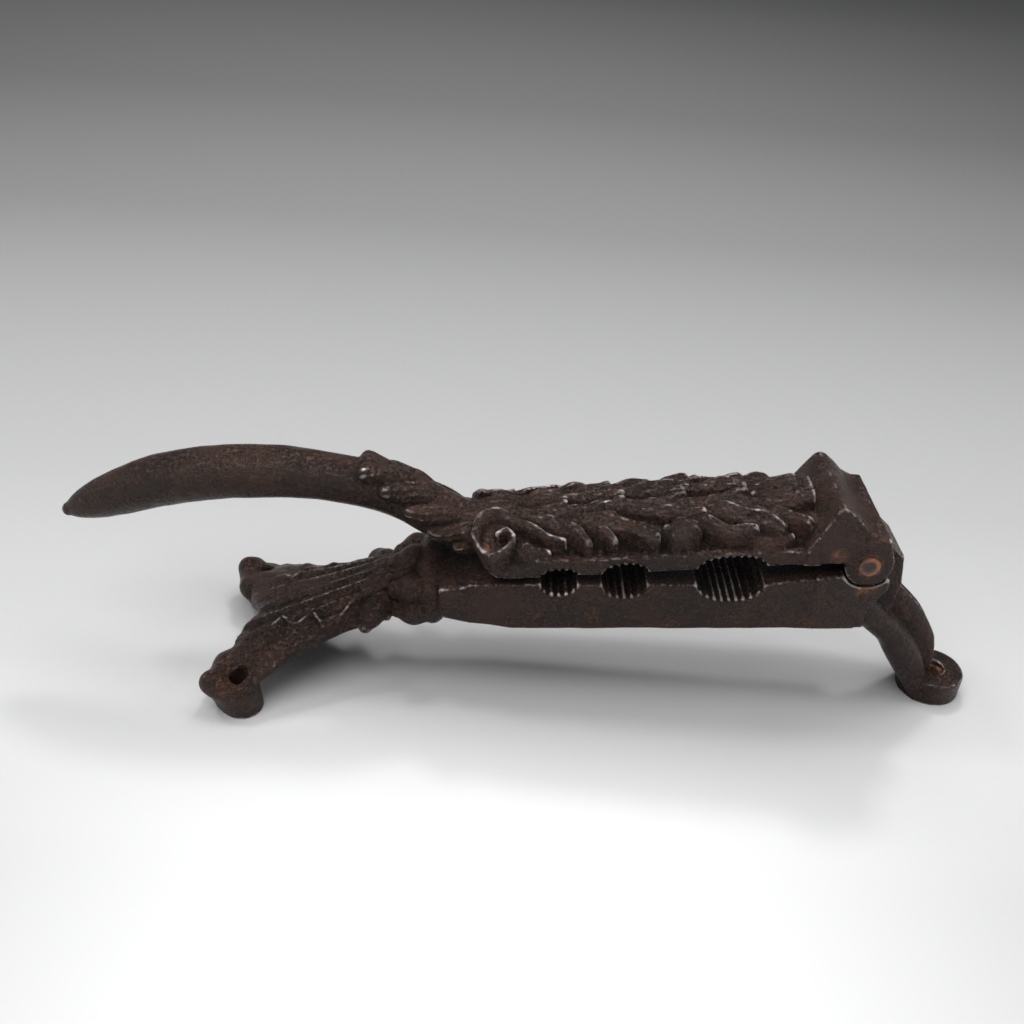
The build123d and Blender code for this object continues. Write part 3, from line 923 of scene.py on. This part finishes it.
FLOOR_HALF = 3.0
# The floor's tone with painted light, from front to back (y in metres): pale under the object and darker behind
# it, a painted fall-off of the lamps' light
PAPER_WITH_LIGHT_FALLOFF = [(-0.14, 0.64), (-0.07, 0.60), (-0.01, 0.45), (0.10, 0.35), (0.40, 0.21), (0.70, 0.185), (1.20, 0.26)]


def stage():
    """A floor whose colour holds painted light. Close in front it is a little darker to either side of the middle,
    as painted shade.
    """
    size = FLOOR_HALF
    corners = [(-size, -size, 0), (size, -size, 0), (size, size, 0), (-size, size, 0)]
    mesh = bpy.data.meshes.new("floor")
    mesh.from_pydata(corners, [], [(0, 1, 2, 3)])
    floor = bpy.data.objects.new("floor", mesh)
    bpy.context.collection.objects.link(floor)
    p = Paint("floor_paper_with_light")
    split = p.node("ShaderNodeSeparateXYZ")
    p.link(p.place, split.inputs[0])
    ramp = p.node("ShaderNodeValToRGB")
    start, end = PAPER_WITH_LIGHT_FALLOFF[0][0], PAPER_WITH_LIGHT_FALLOFF[-1][0]
    along = p.math("DIVIDE", p.math("SUBTRACT", split.outputs["Y"], start), end - start)
    p.link(along, ramp.inputs[0])
    stops = ramp.color_ramp.elements
    for y, _ in PAPER_WITH_LIGHT_FALLOFF[1:-1]:
        stops.new((y - start) / (end - start))
    for stop, (_, tone) in zip(stops, PAPER_WITH_LIGHT_FALLOFF):
        stop.color = (tone, tone, tone, 1)
    # Painted shade: near the front, the floor is darkened by up to 27% away from the middle.
    aside = p.span(p.math("ABSOLUTE", p.math("SUBTRACT", split.outputs["X"], -0.01), 0), 0.03, 0.17)
    front = p.span(split.outputs["Y"], -0.09, -0.01, 1.0, 0.0)
    fade = p.math("SUBTRACT", 1.0, p.math("MULTIPLY", p.math("MULTIPLY", aside, front), 0.27))
    shade = p.node("ShaderNodeVectorMath", operation="SCALE")
    p.link(ramp.outputs["Color"], shade.inputs[0])
    p.link(fade, shade.inputs["Scale"])
    p.link(shade.outputs[0], p.shader.inputs["Base Color"])
    p.shader.inputs["Roughness"].default_value = 0.9
    p.shader.inputs["Specular IOR Level"].default_value = 0.1
    mesh.materials.append(p.material)


def lamp(name, place, target, size, power):
    light = bpy.data.lights.new(name, "AREA")
    light.shape = "RECTANGLE"
    light.size, light.size_y = size
    light.energy = power
    lamp_object = bpy.data.objects.new(name, light)
    lamp_object.location = place
    lamp_object.rotation_euler = (Vector(target) - Vector(place)).to_track_quat("-Z", "Y").to_euler()
    bpy.context.collection.objects.link(lamp_object)


# Lamps in metres and watts: name, place, height it is turned to over the middle, size, power
LAMPS = [
    ("key", (-0.30, -0.45, 0.95), 0.03, (0.8, 0.6), 8.2),
    ("glint", (0.10, 0.45, 0.75), 0.04, (0.14, 0.10), 2.4),
    ("glint_left", (-0.45, 0.10, 0.70), 0.04, (0.12, 0.10), 1.5),
    ("overhead", (0.1, 0.30, 1.0), 0.03, (1.1, 0.6), 7.6),
    ("side", (0.85, -0.1, 0.45), 0.03, (0.3, 0.5), 2.8),
]
SKY_COLOUR, SKY_STRENGTH = (0.9, 0.92, 0.95, 1), 0.15


def lights():
    for name, place, height, size, power in LAMPS:
        lamp(name, place, (0, 0, height), size, power)
    world = bpy.data.worlds.new("studio")
    bpy.context.scene.world = world
    world.use_nodes = True
    sky = world.node_tree.nodes["Background"]
    sky.inputs["Color"].default_value = SKY_COLOUR
    sky.inputs["Strength"].default_value = SKY_STRENGTH


# The camera in millimetres of lens and metres of place; it is level with the tilted jaws
LENS, SENSOR = 40.0, 36.0
CAMERA_PLACE = (-0.0211, -0.270, 0.230)
CAMERA_FORWARD = (0.0395, 0.8387, -0.5432)


def camera():
    data = bpy.data.cameras.new("camera")
    data.lens, data.sensor_width = LENS, SENSOR
    eye = bpy.data.objects.new("camera", data)
    forward = Vector(CAMERA_FORWARD).normalized()
    right = Vector((COS, 0, SIN))
    right = (right - forward * right.dot(forward)).normalized()
    up = right.cross(forward)
    turn = Matrix((right, up, -forward)).transposed().to_4x4()
    eye.matrix_world = Matrix.Translation(CAMERA_PLACE) @ turn
    bpy.context.collection.objects.link(eye)
    bpy.context.scene.camera = eye


bpy.context.scene.view_settings.view_transform = "Standard"
build_castings()
stage()
lights()
camera()
